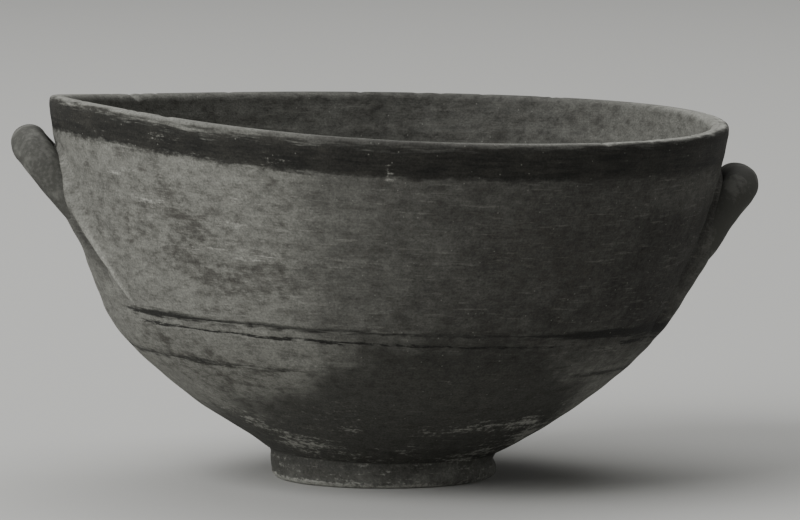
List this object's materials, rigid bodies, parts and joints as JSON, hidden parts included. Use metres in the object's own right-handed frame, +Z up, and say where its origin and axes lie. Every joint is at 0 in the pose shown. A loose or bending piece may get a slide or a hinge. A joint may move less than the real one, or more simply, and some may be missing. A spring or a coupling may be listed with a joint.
{
  "type": "skyphos cup",
  "caption": "Wide, deep drinking cup of fired clay that leans a little on a low ring foot, with rolled loop handles luted to the wall below a plain rounded lip.",
  "frame": {"origin": "centre of the circle that the foot ring stands on, at the height of the surface under it", "axes": "+Z up, +X towards the right handle, -Y towards the side that the picture shows"},
  "size_m": [0.1812, 0.1648, 0.0924],
  "materials": {
    "painted_clay": "matt fired clay with worn dark painted bands and a dark painted inside",
    "foot_clay": "matt fired clay under worn dark paint",
    "handle_clay": "matt fired clay with a thin worn wash",
    "luting_clay": "matt fired clay, finger-smoothed"
  },
  "bodies": {
    "root": {"bowl": "painted_clay", "ring_foot": "foot_clay", "foot_luting": "luting_clay", "left_handle": "handle_clay", "left_handle_front_luting": "luting_clay", "left_handle_back_luting": "luting_clay", "right_handle": "handle_clay", "right_handle_front_luting": "luting_clay", "right_handle_back_luting": "luting_clay"}
  },
  "joints": []
}
